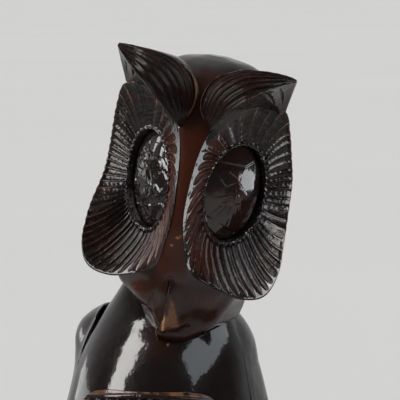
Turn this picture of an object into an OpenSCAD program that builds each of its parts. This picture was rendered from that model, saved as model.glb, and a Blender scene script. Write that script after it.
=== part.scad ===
// Carved wooden owl: a figurine built up from separately carved and glued pieces.
// Millimetres. +Z is up, the owl faces -Y, and the origin is at the centre of the felt pad's underside.

/* [Base] */
// Width of the stump that the owl stands on
base_w = 104; // [98:1:112]
// Depth of the stump, front to back
base_d = 96; // [90:1:104]
// Height of the stump, without the felt
base_h = 32; // [30:1:34]
// Thickness of the felt pad
felt_t = 2; // [1:0.5:2.5]

/* [Body] */
// Widening of the torso, as a share of its own width
torso_scale = 1; // [0.96:0.01:1.04]
// Swell of the right wing's shoulder out of the torso
wing_swell = 8; // [6.5:0.5:9]
// Swell of the left wing's flatter shoulder, as a share of the right one's
left_shoulder = 0.35; // [0.25:0.05:0.6]
// Number of long feathers on each wing
feathers = 8; // [6:1:9]
// Height of the breast panel's face over the torso
panel_rise = 2; // [1.6:0.1:2.4]
// Number of grooves down the breast panel
panel_grooves = 11; // [9:1:13]

/* [Head] */
// Sideways tilt of the head, its crown towards +X, in degrees
head_tilt = 9; // [7:0.5:11]
// Width of each eye across its sloping face
eye_w = 32; // [30:0.5:33]
// Height of each eye
eye_h = 46; // [43:0.5:47]
// Depth of each eye's edge below the rim of its socket
socket_depth = 5.5; // [4:0.5:6]
// Rise of each eye's dome over its own edge
dome_rise = 5; // [4:0.5:5.5]
// Number of flutes round each face disc
flutes = 54; // [48:1:60]
// Depth of the flutes
flute_depth = 1.1; // [0.7:0.1:1.3]
// Number of grooves along each brow tuft
tuft_grooves = 7; // [5:1:8]
// Droop of the left tuft's tip, against the right one's
tuft_droop = 3.2; // [2:0.2:4]
// Height of the low wall where the flutes run out
wall_h = 1; // [0.6:0.1:1.2]

/* [Dowels] */
// Diameter of the neck dowel
neck_dowel_d = 12; // [10:0.5:14]
// Diameter of the two dowels between the stump and the torso
base_dowel_d = 8; // [6:0.5:10]

/* [Hidden] */

dark = "#1d1412";
brown = "#3a2018";

stand_z = felt_t + base_h;     // top of the stump
head_at = [16.8, -44, 276];    // the nose bridge at eye level, the head frame's origin
neck_at = [8, 2, 206];         // foot of the neck dowel
neck_dowel_l = 52;
base_dowel_x = 13;
base_dowel_y = 4;
base_dowel_l = 40;

// Torso: height, half width, depth to the front, depth to the back, sideways offset.
TORSO = [[34, 28, 25, 28, 0], [48, 34, 31, 32, 0], [66, 40, 39, 37, 0],
         [90, 45.5, 46, 42, 0], [120, 49, 51, 45, 0], [148, 49, 51.5, 46, 0],
         [172, 46.5, 48, 43.5, -0.2], [188, 42.6, 42.5, 40, 0], [200, 38.4, 35.5, 37, 0.6],
         [211, 32.8, 27, 32.5, 1.2], [221, 27, 19, 28, 2.2], [232, 22, 13, 25, 4]];

// Wing: height, angle of the front edge and of the back edge from the front, swell, thickness of the
// edge, depth of the grooves between its feathers.
WING = [[50, 146, 157, 1.5, 1.2, 0.2], [58, 133, 161, 3, 1.6, 0.7], [76, 116, 163, 4, 2, 0.9],
        [100, 98, 163, 4.4, 2, 0.9], [130, 82, 161, 4, 1.8, 0.8], [160, 72, 158, 2.8, 1, 0.5],
        [174, 72, 155, 2.6, 0.7, 0.2], [185, 73, 152, 4.4, 0.5, 0], [193, 74, 148, 7, 0.4, 0],
        [201, 75, 142, 9.4, 0.4, 0], [208, 78, 134, 8.8, 0.4, 0], [213, 85, 125, 5, 0.4, 0],
        [216, 96, 112, 1, 0.4, 0]];

// Tail: height, half width, distance of its outer face behind the axis.
TAIL = [[34, 25, 43.5], [46, 24.5, 45.5], [62, 22, 47.5], [82, 17.5, 48], [100, 12, 47], [110, 7, 45]];

// Breast panel: height and half angle of its outline.
PANEL = [[72, 3], [75, 9], [82, 17], [96, 28], [115, 37], [140, 43], [160, 45.5],
         [172, 45], [178, 42], [181.5, 36], [183.5, 24]];

// Head, in its own frame: height; front of the bridge; half width and depth of the bridge's edge,
// the cheek under the disc, the side and the back of the side; the back; sideways shift of the jaw.
SKULL = [[-74.5, 22, 2, 22.3, 3.5, 24, 4.5, 28, 4, 36, 40, 3],
         [-70.5, 11.5, 3.5, 12, 6.5, 15.5, 8.5, 26, 9, 45, 54, 4.5],
         [-64, 8.3, 4.5, 9.3, 9.8, 14, 14, 24, 18, 49, 60, 6],
         [-56, 7, 5.5, 8.5, 14, 16, 19.5, 26, 22.5, 53, 65, 4.5],
         [-48, 5, 6.5, 7, 21, 17, 28, 29, 26, 56, 68, 0.8],
         [-41, 3.4, 7.6, 6, 26, 16, 34, 27, 28, 58, 71, 0],
         [-30, 1.4, 6.2, 3, 25, 15, 39, 28, 30, 61, 74.5, 0],
         [-15, -1.5, 3.5, -1, 17, 16, 39.5, 33, 30, 63, 76.5, 0],
         [0, -0.8, 3.3, -0.1, 14, 19, 38.5, 40, 30.5, 64, 77, 0],
         [14, 1.4, 4.4, 2.2, 16, 18, 37.5, 39.5, 30, 63, 75.5, 0],
         [27, 4.2, 7.5, 5.2, 20, 17, 36, 36, 29, 61, 72.5, 0],
         [38, 7.5, 8, 9.5, 20, 19, 33, 35, 27, 57, 67.5, 0],
         [47, 12, 7.5, 13.5, 18, 22, 29, 36, 23.5, 53, 61.5, 0],
         [54, 19, 6, 20, 14.5, 26, 22.5, 37, 18, 49, 55, 0],
         [58, 26, 5, 26.6, 11, 30, 15.5, 37.5, 12, 45, 48.5, 0],
         [60, 32, 2, 32.2, 4, 33.5, 5, 37.5, 4, 41, 42, 0]];

// Face disc, in the head's frame: its outline as width, depth and height, round from the inner top.
DISC = [[7.4, 5, 27], [4.3, 1.9, 16], [3, -0.6, 3], [2.7, -2, -12], [4.4, 0.5, -24],
        [8, 5, -36.5], [17.5, 10.9, -42.6], [30.8, 13.6, -46.6], [42.4, 14.6, -43.6], [47.2, 16.5, -32],
        [46.4, 22, -17], [44.8, 31.5, -3.5], [44, 33.8, 9], [42.6, 28, 21], [41, 22.5, 32],
        [38, 18, 41.5], [28, 14, 43], [15, 8.5, 36]];
disc_edge_t = 3.2;             // thickness of the disc's outer edge
disc_rim_t = 8;                // depth of the socket's wall
eye_at = [20.6, 20, 0];        // centre of the socket's rim
eye_slope = 42;                // turn of the eye's face away from the front
eye_lean = 5;                  // lean of the eye's face, its foot further back

// Brow tuft, from the inner foot to the tip: its front edge, its rear edge, the foot of its underside on
// the disc, then the depth and height of the back corner that is let into the head.
TUFT = [[[7.2, 3.5, 28.2], [5.9, 4.6, 29.4], [7.6, 7, 27.4], [10, 28]],
        [[9.6, -0.5, 31.6], [1.7, 3.6, 37.5], [10.5, 8.4, 30.2], [18, 29]],
        [[12.6, -4, 35.2], [1.8, 6.0, 45.5], [14, 10, 34.2], [24, 32]],
        [[17.2, -8, 40.2], [6, 10.5, 52.5], [19.5, 12.6, 38.2], [29, 36]],
        [[24, -9.4, 46.4], [15, 14.5, 57.5], [26, 15.2, 41.4], [33, 39]],
        [[31.2, -5, 52], [26.5, 14.6, 59.5], [32, 17.4, 42], [31, 41]],
        [[38, 3.5, 56.6], [36, 13.4, 60.2], [35.6, 19, 41.4], [26, 42]],
        [[41.8, 9.6, 59], [41.4, 12.2, 60.2], [37.6, 19.4, 43], [22, 45]]];

// Beak: height, depth of its ridge, half width at its root, depth of the root.
BEAK = [[-64.8, 6.9, 0.4, 8], [-63, 5.6, 2.8, 9.5], [-61.3, 4.9, 5.2, 11], [-58.3, 4.1, 9, 16.5],
        [-57, 3.8, 11, 19.5], [-52, 3, 9.5, 16], [-46, 2.6, 5, 10], [-40, 3.2, 1.2, 5.5]];

// ---- curves ----

// Slope at row i of a table whose first column rises.
function slope(t, i) = let (a = max(i - 1, 0), b = min(i + 1, len(t) - 1))
    (t[b] - t[a]) / (t[b][0] - t[a][0]);
// Cubic Hermite blend of two values with their slopes over a step h.
function hermite(a, b, ma, mb, h, s) =
    a * (2*s*s*s - 3*s*s + 1) + b * (3*s*s - 2*s*s*s)
    + ma * h * (s*s*s - 2*s*s + s) + mb * h * (s*s*s - s*s);
// Index of the last row whose first column isn't over x.
function row_below(t, x) = min(len(t) - 2, max([for (i = [0:len(t) - 1]) t[i][0] <= x ? i : 0]));
// A smooth row of the table at x.
function row_at(t, x) = let (i = row_below(t, x), h = t[i + 1][0] - t[i][0])
    hermite(t[i], t[i + 1], slope(t, i), slope(t, i + 1), h, (x - t[i][0]) / h);
// Catmull-Rom point at u of a closed list of points.
function round_at(p, u) = let (n = len(p), i = floor(u), s = u - i,
    a = p[(i - 1 + n) % n], b = p[i % n], c = p[(i + 1) % n], d = p[(i + 2) % n])
    hermite(b, c, (c - a) / 2, (d - b) / 2, 1, s);
function between(a, b, s) = a + (b - a) * s;
// n + 1 even steps from a to b.
function steps(a, b, n) = [for (i = [0:n]) between(a, b, i / n)];
function mean(p) = [for (k = [0:2]) let (c = [for (q = p) q[k]]) c * [for (q = p) 1] / len(p)];

// ---- solids ----

// A closed skin over equal rings of points: capped at both ends, or joined end to end.
// The rings run clockwise seen from the last one, or anticlockwise when turned.
module skin(rings, loop = false, turned = false) {
    n = len(rings[0]);
    m = len(rings);
    last = loop ? m - 1 : m - 2;
    sides = [for (i = [0:last]) for (k = [0:n - 1])
        let (a = i * n + k, b = i * n + (k + 1) % n,
             c = ((i + 1) % m) * n + (k + 1) % n, d = ((i + 1) % m) * n + k)
        each [[a, b, c], [a, c, d]]];
    foot = [for (k = [0:n - 1]) [m * n, (k + 1) % n, k]];
    head = [for (k = [0:n - 1]) [m * n + 1, (m - 1) * n + k, (m - 1) * n + (k + 1) % n]];
    faces = loop ? sides : concat(sides, foot, head);
    flat_points = [for (r = rings) each r];
    polyhedron(points = loop ? flat_points : concat(flat_points, [mean(rings[0]), mean(rings[m - 1])]),
               faces = turned ? [for (f = faces) [f[0], f[2], f[1]]] : faces);
}

// One mesh out of its children's booleans, because carved surfaces meet facet to facet.
module carved() resize([0, 0, 0]) children();

module in_head_frame() translate(head_at) rotate([0, head_tilt, 0]) children();
module on_side(side) mirror([side < 0 ? 1 : 0, 0, 0]) children();

// ---- body ----

// Point on the torso at an angle from the front, raised outwards by a distance.
function torso_at(a, z, out = 0) = let (r = row_at(TORSO, z))
    [r[4] + (r[1] * torso_scale + out) * sin(a), -((cos(a) > 0 ? r[2] : r[3]) + out) * cos(a), z];

module torso_form() {
    turn = 48;
    skin([for (z = [34, 41, 50, 60, 72, 86, 102, 120, 138, 154, 167, 178, 188, 196, 204, 212, 220, 226, 232])
        [for (i = [turn:-1:1]) torso_at(i * 360 / turn, z)]]);
}

module torso() color(dark) difference() {
    torso_form();
    translate(neck_at) cylinder(d = neck_dowel_d, h = neck_dowel_l, $fn = 48);
    for (s = [-1, 1]) translate([s * base_dowel_x, base_dowel_y, stand_z - base_dowel_l / 2])
        cylinder(d = base_dowel_d, h = base_dowel_l, $fn = 48);
}

// Swell of a wing at a height: the left wing is flatter than the right one over its shoulder.
function wing_swell_at(side, z) = row_at(WING, z)[3] * wing_swell / 8
    * (side > 0 ? between(1, left_shoulder, max(0, min(1, (z - 172) / 18))) : 1);
// Thickness of the wing at a share of the way from its front edge to its back edge.
function wing_t(swell, edge_t, s) = edge_t + max(0, swell - edge_t) * pow(sin(180 * s), 0.8);

module wing_form(side) {
    skin([for (z = [50, 53, 58, 66, 76, 90, 106, 124, 142, 158, 168, 176, 183, 189, 195, 200, 205, 209,
              212.5, 214.8, 216])
        let (r = row_at(WING, z), swell = wing_swell_at(side, z), across = feathers * 2)
        concat([for (i = [across:-1:0]) let (s = i / across)
                   torso_at(between(r[1], r[2], s), z, wing_t(swell, r[4], s) - i % 2 * max(0, r[5]))],
               [for (s = steps(0, 1, 6)) torso_at(between(r[1], r[2], s), z, -3)])]);
}

module wing(side) color(dark) carved() difference() {
    on_side(side) wing_form(side);
    torso_form();
}

module tail_form() {
    across = 8;
    skin([for (z = [34, 38, 46, 56, 68, 80, 92, 102, 110]) let (r = row_at(TAIL, z))
        concat([for (s = steps(-1, 1, across)) [r[1] * s, r[2] - 3 * s * s, z]],
               [for (s = steps(1, -1, across / 2)) [r[1] * s, 20, z]])]);
}

module tail() color(brown) carved() difference() {
    tail_form();
    torso_form();
    for (side = [-1, 1]) on_side(side) wing_form(side);
}

// The panel: grooved between a plain rim and its foot.
module panel_form() {
    across = panel_grooves * 2 + 2;
    skin([for (z = [72, 75, 80, 88, 98, 110, 124, 140, 154, 166, 174, 178, 180, 181.5, 183.5])
        let (a = row_at(PANEL, z)[1], groove = z > 179 || z < 76 ? 0 : panel_rise * 0.45)
        concat([for (i = [across:-1:0]) let (s = 2 * i / across - 1)
                   torso_at(a * s, z, panel_rise - (i > 0 && i < across && i % 2 == 1 ? groove : 0))],
               [for (s = steps(-1, 1, 8)) torso_at(a * s, z, -2)])]);
}

module breast_panel() color(brown) carved() difference() {
    panel_form();
    torso_form();
    for (side = [-1, 1]) on_side(side) wing_form(side);
}

// ---- feet and stump ----

foot_at = [17, -27];           // where a foot's toes meet, on top of the stump
foot_turn = 10;                // turn of the foot away from the front
toe_hem = 0.6;                 // thickness of the foot's edge and of the webs between its toes

// Foot: distance along it from where the toes meet, half span, height, share of the toes in its shape.
FOOT = [[-22.5, 10.4, 1.2, 1], [-19, 10.2, 4.8, 1], [-16, 10, 7, 1], [-12.5, 9.8, 9, 1], [-9, 9.5, 9.4, 0.85],
        [-5, 9.3, 12, 0.5], [0, 9.4, 16.5, 0.15], [7, 9.5, 21, 0], [14, 9, 24, 0]];

// Rounded profile across a foot: one shank at the back, three toes in front.
function across_foot(s, toes) = between(sqrt(max(0, 1 - s * s)), abs(sin(270 * (s + 1))), toes);

module foot_form() {
    across = 18;
    skin([for (y = [14, 10, 6, 2, -2, -5.5, -9, -12.5, -16, -18.5, -20.5, -22.5]) let (r = row_at(FOOT, y))
        concat([for (s = steps(-1, 1, across))
                   [s * r[1], y + 2.5 * s * s * r[3], toe_hem + r[2] * across_foot(s, r[3])]],
               [for (s = steps(1, -1, across / 3)) [s * r[1], y + 2.5 * s * s * r[3], 0]])]);
}

module foot(side) color(brown) on_side(side) carved() difference() {
    translate([foot_at[0], foot_at[1], stand_z]) rotate([0, 0, foot_turn]) foot_form();
    torso_form();
}

// The stump's outline swells a little at its foot and rolls over at its top edge.
STUMP = [[0, 1], [0.12, 1.015], [0.4, 0.975], [0.75, 0.965], [0.92, 0.95], [1, 0.9]];

module stump_base() color(brown) difference() {
    skin([for (h = [0, 0.12, 0.3, 0.55, 0.75, 0.87, 0.95, 1]) let (k = row_at(STUMP, h)[1])
        [for (i = [56:-1:1]) [k * base_w / 2 * cos(i * 360 / 56), k * base_d / 2 * sin(i * 360 / 56),
                              felt_t + h * base_h]]]);
    for (s = [-1, 1]) translate([s * base_dowel_x, base_dowel_y, stand_z - base_dowel_l / 2])
        cylinder(d = base_dowel_d, h = base_dowel_l, $fn = 48);
}

module felt_pad() color("#20352a") linear_extrude(felt_t)
    polygon([for (i = [1:72]) [(base_w / 2 - 3) * cos(i * 5), (base_d / 2 - 3) * sin(i * 5)]]);

module base_dowels() color("burlywood")
    for (s = [-1, 1]) translate([s * base_dowel_x, base_dowel_y, stand_z - base_dowel_l / 2])
        cylinder(d = base_dowel_d, h = base_dowel_l, $fn = 48);

module neck_dowel() color("burlywood")
    translate(neck_at) cylinder(d = neck_dowel_d, h = neck_dowel_l, $fn = 48);

// ---- head ----

// The skull's section at a height, as a closed list of control points.
function skull_points(z) = let (r = row_at(SKULL, z), shift = [0, 0.6, 1, 1])
    concat([[0, r[1]]], [for (i = [0:3]) [shift[i] * r[11] - r[2 * i + 2], r[2 * i + 3]]],
           [[r[11], r[10]]], [for (i = [3:-1:0]) [shift[i] * r[11] + r[2 * i + 2], r[2 * i + 3]]]);

module skull_form() {
    per = 5;
    skin([for (z = [-74.5, -73, -70.5, -67, -62, -56, -51, -46, -41, -35, -27, -18, -8, 2, 12, 22, 31, 39,
              46, 51, 55, 58, 59.3, 60])
        let (p = skull_points(z))
        [for (i = [0:len(p) * per - 1]) let (q = round_at(p, i / per)) [q[0], q[1], z]]]);
}

// Unit vector out of the eye's face.
function eye_axis() = [sin(eye_slope) * cos(eye_lean), -cos(eye_slope) * cos(eye_lean), -sin(eye_lean)];
// Point of the eye's face: across and up it, and out of it.
function on_eye(u, v, out = 0) = eye_at + u * [cos(eye_slope), sin(eye_slope), 0]
    + v * [sin(eye_slope) * sin(eye_lean), -cos(eye_slope) * sin(eye_lean), cos(eye_lean)]
    + out * eye_axis();
function rim_at(a, k = 1, out = 0) = on_eye(k * eye_w / 2 * cos(a), k * eye_h / 2 * sin(a), out);
// Direction of an outline point round the eye, with the socket's oval made round.
function rim_angle(p) = atan2((p[2] - eye_at[2]) / eye_h, (p[0] - eye_at[0]) / (eye_w * cos(eye_slope)));

// Round the disc: flutes * 2 places, a crest and a hollow in turn.
disc_turns = flutes * 2;
function disc_edge(i) = round_at(DISC, i / disc_turns * len(DISC));
function edge_back(edge) = edge + [(eye_at[0] - edge[0]) * 0.03, disc_edge_t, (eye_at[2] - edge[2]) * 0.03];

// The disc: fluted from the socket's rim to the outer edge. Where the edge faces in or down the flutes
// run out in pointed ends on a low wall.
module disc_form() skin([for (i = [0:disc_turns - 1])
    let (edge = disc_edge(i), rim = rim_at(rim_angle(edge)), hollow = i % 2 * flute_depth,
         stop = max(0, min(1, (38 - edge[0] - 0.3 * edge[2]) / 12)))
    concat([for (k = [0:4]) between(rim, edge, [0, 0.25, 0.6, 0.88, 1][k])
                - ([0, 0.4, 1, 1, 0][k] * stop * wall_h
                   + hollow * [0.3, 0.8, 1, 1 - 0.4 * stop, 0.7 * (1 - stop)][k]) * eye_axis()],
           [edge_back(edge), rim_at(rim_angle(edge), 1, -disc_rim_t)])], loop = true, turned = true);

// Everything in front of the disc's back, to cut its bed in the head.
module disc_bed() {
    edges = [for (i = [0:disc_turns - 1]) disc_edge(i)];
    skin([[for (e = edges) [e[0], -30, e[2]]], edges, [for (e = edges) edge_back(e)],
          [for (e = edges) rim_at(rim_angle(e), 1, -disc_rim_t)]]);
}

module eye_form() {
    skin([for (r = concat([[1, -disc_rim_t]],
                          [for (b = [0:15:75]) [cos(b), -socket_depth + dome_rise * sin(b)]],
                          [[0.09, -socket_depth + dome_rise]]))
        [for (a = [350:-10:0]) rim_at(a, 0.985 * r[0], r[1])]]);
}

// Section of the tuft at one station: its grooved top from the front edge, then its let-in back.
function tuft_ring(t) = let (e = t[0], r = t[1], foot = t[2], back_y = t[3][0], back_z = t[3][1],
    lift = 0.16 * norm(r - e), groove = 0.05 * norm(r - e))
    concat([for (i = [0:tuft_grooves * 2]) let (s = i / tuft_grooves / 2)
               between(e, r, s) + [0, -0.6, 0.8] * (lift * sin(180 * s) - i % 2 * groove)],
           [[r[0] * 0.98, back_y, r[2] - 1.5], [foot[0], back_y, back_z], foot,
            between(foot, e, 0.5) + [0, 0.5, 0.6]]);

module tuft_form(side) {
    per = 3;
    n = len(TUFT) - 1;
    rings = [for (i = [0:n]) let (low = side > 0 ? tuft_droop * pow(max(0, i - 3) / (n - 3), 1.5) : 0)
        [for (p = tuft_ring(TUFT[i])) p - [0, 0, low]]];
    skin([for (i = [0:n * per]) let (u = i / per, k = min(floor(u), n - 1), s = u - k,
                                     a = rings[max(k - 1, 0)], b = rings[k], c = rings[k + 1],
                                     d = rings[min(k + 2, n)])
        [for (j = [0:len(b) - 1]) hermite(b[j], c[j], (c[j] - a[j]) / 2, (d[j] - b[j]) / 2, 1, s)]]);
}

module beak_form() {
    skin([for (z = [-64.8, -64, -62.5, -60.5, -58.3, -57, -54.5, -51, -47, -43, -40]) let (r = row_at(BEAK, z))
        [[0, r[1], z], [-r[2] * 0.55, between(r[1], r[3], 0.42), z], [-r[2], r[3], z],
         [-r[2] * 0.7, r[3] + 4, z], [r[2] * 0.7, r[3] + 4, z], [r[2], r[3], z],
         [r[2] * 0.55, between(r[1], r[3], 0.42), z]]]);
}

module head() color(dark) difference() {
    carved() difference() {
        in_head_frame() difference() {
            skull_form();
            for (side = [-1, 1]) on_side(side) {
                disc_bed();
                tuft_form(side);
            }
            beak_form();
        }
        torso_form();
    }
    translate(neck_at) cylinder(d = neck_dowel_d, h = neck_dowel_l, $fn = 48);
}

module face_disc(side) color(brown) carved() in_head_frame() on_side(side) difference() {
    disc_form();
    tuft_form(side);
}

module eye(side) color(dark) in_head_frame() on_side(side) eye_form();
module brow_tuft(side) color(brown) in_head_frame() on_side(side) tuft_form(side);
module beak() color(brown) in_head_frame() beak_form();

felt_pad();
stump_base();
base_dowels();
foot(1);  // left_foot
foot(-1);  // right_foot
torso();
breast_panel();
wing(1);  // left_wing
wing(-1);  // right_wing
tail();
neck_dowel();
head();
face_disc(1);  // left_face_disc
face_disc(-1);  // right_face_disc
eye(1);  // left_eye
eye(-1);  // right_eye
brow_tuft(1);  // left_brow_tuft
brow_tuft(-1);  // right_brow_tuft
beak();
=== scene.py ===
"""The carved wooden owl round its CAD frame: gouged face discs, polished body and dark lacquered wood.

Shapes are worked out in millimetres, with the CAD's own construction and its tables of sections, and
each piece is turned to metres when its mesh is made. The owl faces -Y, and "left" is its own left, +X.
"""

from math import cos, pi, radians, sin

import bpy
import numpy as np
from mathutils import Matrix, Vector


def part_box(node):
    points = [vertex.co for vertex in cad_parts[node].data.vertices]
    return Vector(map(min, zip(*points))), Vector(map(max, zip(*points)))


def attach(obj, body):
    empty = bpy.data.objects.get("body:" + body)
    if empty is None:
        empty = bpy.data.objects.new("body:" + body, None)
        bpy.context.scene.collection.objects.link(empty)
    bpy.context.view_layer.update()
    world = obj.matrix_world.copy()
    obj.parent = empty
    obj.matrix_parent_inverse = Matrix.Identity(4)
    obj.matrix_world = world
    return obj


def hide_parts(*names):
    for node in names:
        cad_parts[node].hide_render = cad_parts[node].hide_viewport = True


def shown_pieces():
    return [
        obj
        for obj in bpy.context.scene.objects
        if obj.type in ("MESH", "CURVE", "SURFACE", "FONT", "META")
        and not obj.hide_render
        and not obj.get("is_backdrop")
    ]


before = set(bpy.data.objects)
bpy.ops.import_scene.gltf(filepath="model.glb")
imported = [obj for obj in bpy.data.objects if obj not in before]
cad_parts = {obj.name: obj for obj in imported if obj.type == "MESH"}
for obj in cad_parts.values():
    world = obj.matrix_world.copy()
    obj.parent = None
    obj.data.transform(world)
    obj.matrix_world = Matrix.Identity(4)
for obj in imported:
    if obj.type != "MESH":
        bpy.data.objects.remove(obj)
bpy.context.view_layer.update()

MM = 0.001


def box_mm(node):
    """Lowest and highest corner of a CAD node, in millimetres."""
    low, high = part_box(node)
    return np.array(low) / MM, np.array(high) / MM


# ---------------------------------------------------------------- the frame's own dimensions

STAND_Z = box_mm("stump_base")[1][2]  # top of the stump, where the owl stands
FELT_T = box_mm("stump_base")[0][2]
HEAD_AT = np.array([16.8, -44, 276])  # the bridge of the nose at eye level
HEAD_TILT = radians(9)
EYE_W, EYE_H = 32, 46
EYE_AT = np.array([20.6, 20, 0])  # the head frame, like all of the head's tables
EYE_SLOPE, EYE_LEAN = radians(42), radians(5)
SOCKET_DEPTH, DOME_RISE = 5.5, 5
DISC_EDGE_T, DISC_RIM_T = 3.2, 8
FLUTE_DEPTH = 1.5
TUFT_DROOP = 3.2  # of the left tuft's tip
LEFT_SHOULDER = 0.35  # its swell, as a share of the right one's

TORSO = np.array([
    [34, 28, 25, 28, 0], [48, 34, 31, 32, 0], [66, 40, 39, 37, 0], [90, 45.5, 46, 42, 0],
    [120, 49, 51, 45, 0], [148, 49, 51.5, 46, 0], [172, 46.5, 48, 43.5, -0.2], [188, 42.6, 42.5, 40, 0],
    [200, 38.4, 35.5, 37, 0.6], [211, 32.8, 27, 32.5, 1.2], [221, 27, 19, 28, 2.2], [232, 22, 13, 25, 4],
])  # height, half width, front, back, sideways offset

WING = np.array([
    [50, 146, 157, 1.5, 1.2], [58, 133, 161, 3, 1.6], [76, 116, 163, 4, 2], [100, 98, 163, 4.4, 2],
    [130, 82, 161, 4, 1.8], [160, 72, 158, 2.8, 1], [174, 72, 155, 2.6, 0.7], [185, 73, 152, 4.4, 0.5],
    [193, 74, 148, 7, 0.4], [201, 75, 142, 9.4, 0.4], [208, 78, 134, 8.8, 0.4], [213, 85, 125, 5, 0.4],
    [216, 96, 112, 1, 0.4],
])  # height, angles of the front and back edges, swell, thickness of the edge

TAIL = np.array([
    [34, 25, 43.5], [46, 24.5, 45.5], [62, 22, 47.5], [82, 17.5, 48], [100, 12, 47], [110, 7, 45],
])  # height, half width, depth behind the middle
PANEL = np.array([
    [72, 3], [75, 9], [82, 17], [96, 28], [115, 37], [140, 43], [160, 45.5], [172, 45], [178, 42],
    [181.5, 36], [183.5, 24],
])  # height, half angle of the outline
STUMP_SWELL = 1.015  # at its widest
STUMP = np.array([
    [0, 1], [0.12, STUMP_SWELL], [0.4, 0.975], [0.75, 0.965], [0.92, 0.95], [1, 0.9],
])  # share of the height, size
FOOT = np.array([
    [-22.5, 10.4, 1.2, 1], [-19, 10.2, 4.8, 1], [-16, 10, 7, 1], [-12.5, 9.8, 9, 1], [-9, 9.5, 9.4, 0.85],
    [-5, 9.3, 12, 0.5], [0, 9.4, 16.5, 0.15], [7, 9.5, 21, 0], [14, 9, 24, 0],
])  # distance along the foot, half span, height, share of the toes

SKULL = np.array([
    [-74.5, 22, 2, 22.3, 3.5, 24, 4.5, 28, 4, 36, 40, 3],
    [-70.5, 11.5, 3.5, 12, 6.5, 15.5, 8.5, 26, 9, 45, 54, 4.5],
    [-64, 8.3, 4.5, 9.3, 9.8, 14, 14, 24, 18, 49, 60, 6],
    [-56, 7, 5.5, 8.5, 14, 16, 19.5, 26, 22.5, 53, 65, 4.5],
    [-48, 5, 6.5, 7, 21, 17, 28, 29, 26, 56, 68, 0.8],
    [-41, 3.4, 7.6, 6, 26, 16, 34, 27, 28, 58, 71, 0],
    [-30, 1.4, 6.2, 3, 25, 15, 39, 28, 30, 61, 74.5, 0],
    [-15, -1.5, 3.5, -1, 17, 16, 39.5, 33, 30, 63, 76.5, 0],
    [0, -0.8, 3.3, -0.1, 14, 19, 38.5, 40, 30.5, 64, 77, 0],
    [14, 1.4, 4.4, 2.2, 16, 18, 37.5, 39.5, 30, 63, 75.5, 0],
    [27, 4.2, 7.5, 5.2, 20, 17, 36, 36, 29, 61, 72.5, 0],
    [38, 7.5, 8, 9.5, 20, 19, 33, 35, 27, 57, 67.5, 0],
    [47, 12, 7.5, 13.5, 18, 22, 29, 36, 23.5, 53, 61.5, 0],
    [54, 19, 6, 20, 14.5, 26, 22.5, 37, 18, 49, 55, 0],
    [58, 26, 5, 26.6, 11, 30, 15.5, 37.5, 12, 45, 48.5, 0],
    [60, 32, 2, 32.2, 4, 33.5, 5, 37.5, 4, 41, 42, 0],
])  # height, bridge, then half width and depth of bridge edge, cheek, side and back side, back, jaw shift

DISC = np.array([
    [7.4, 5, 27], [4.3, 1.9, 16], [3, -0.6, 3], [2.7, -2, -12], [4.4, 0.5, -24], [8, 5, -36.5],
    [17.5, 10.9, -42.6], [30.8, 13.6, -46.6], [42.4, 14.6, -43.6], [47.2, 16.5, -32], [46.4, 22, -17],
    [44.8, 31.5, -3.5], [44, 33.8, 9], [42.6, 28, 21], [41, 22.5, 32], [38, 18, 41.5], [28, 14, 43],
    [15, 8.5, 36],
])  # outline of a face disc, round from the inner top

TUFT = np.array([
    [[7.2, 3.5, 28.2], [5.9, 4.6, 29.4], [7.6, 7, 27.4], [0, 10, 28]],
    [[9.6, -0.5, 31.6], [1.7, 3.6, 37.5], [10.5, 8.4, 30.2], [0, 18, 29]],
    [[12.6, -4, 35.2], [1.8, 6, 45.5], [14, 10, 34.2], [0, 24, 32]],
    [[17.2, -8, 40.2], [6, 10.5, 52.5], [19.5, 12.6, 38.2], [0, 29, 36]],
    [[24, -9.4, 46.4], [15, 14.5, 57.5], [26, 15.2, 41.4], [0, 33, 39]],
    [[31.2, -5, 52], [26.5, 14.6, 59.5], [32, 17.4, 42], [0, 31, 41]],
    [[38, 3.5, 56.6], [36, 13.4, 60.2], [35.6, 19, 41.4], [0, 26, 42]],
    [[41.8, 9.6, 59], [41.4, 12.2, 60.2], [37.6, 19.4, 43], [0, 22, 45]],
])  # front edge, rear edge, foot of the underside and the let-in back, from the inner foot to the tip

BEAK = np.array([
    [-64.8, 6.9, 0.4, 8], [-63, 5.6, 2.8, 9.5], [-61.3, 4.9, 5.2, 11], [-58.3, 4.1, 9, 16.5],
    [-57, 3.8, 11, 19.5], [-52, 3, 9.5, 16], [-46, 2.6, 5, 10], [-40, 3.2, 1.2, 5.5],
])  # height, ridge depth, half width and depth of the root


# ---------------------------------------------------------------- curves, noise and shaping


def rows(table, x):
    """Smooth rows of a table whose first column rises, by cubic Hermite pieces."""
    x = np.atleast_1d(np.asarray(x, float))
    n = len(table)
    i = np.clip(np.searchsorted(table[:, 0], x, side="right") - 1, 0, n - 2)
    k = np.arange(n)
    lo, hi = np.maximum(k - 1, 0), np.minimum(k + 1, n - 1)
    slope = (table[hi] - table[lo]) / (table[hi, 0] - table[lo, 0])[:, None]
    h = (table[i + 1, 0] - table[i, 0])[:, None]
    s = (x[:, None] - table[i, 0][:, None]) / h
    return hermite(table[i], table[i + 1], slope[i], slope[i + 1], h, s)


def hermite(a, b, ma, mb, h, s):
    """The cubic from a to b with slopes ma and mb, a share s of the way along its length h."""
    return (
        a * (2 * s**3 - 3 * s**2 + 1) + b * (3 * s**2 - 2 * s**3)
        + ma * h * (s**3 - 2 * s**2 + s) + mb * h * (s**3 - s**2)
    )


def round_at(points, u):
    """Points at u round a closed Catmull-Rom curve. points is (..., n, dimensions)."""
    n = points.shape[-2]
    i = np.floor(u).astype(int)
    s = (u - i)[..., None]
    a, b, c, d = (points[..., (i + k) % n, :] for k in (-1, 0, 1, 2))
    return hermite(b, c, (c - a) / 2, (d - b) / 2, 1, s)


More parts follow.
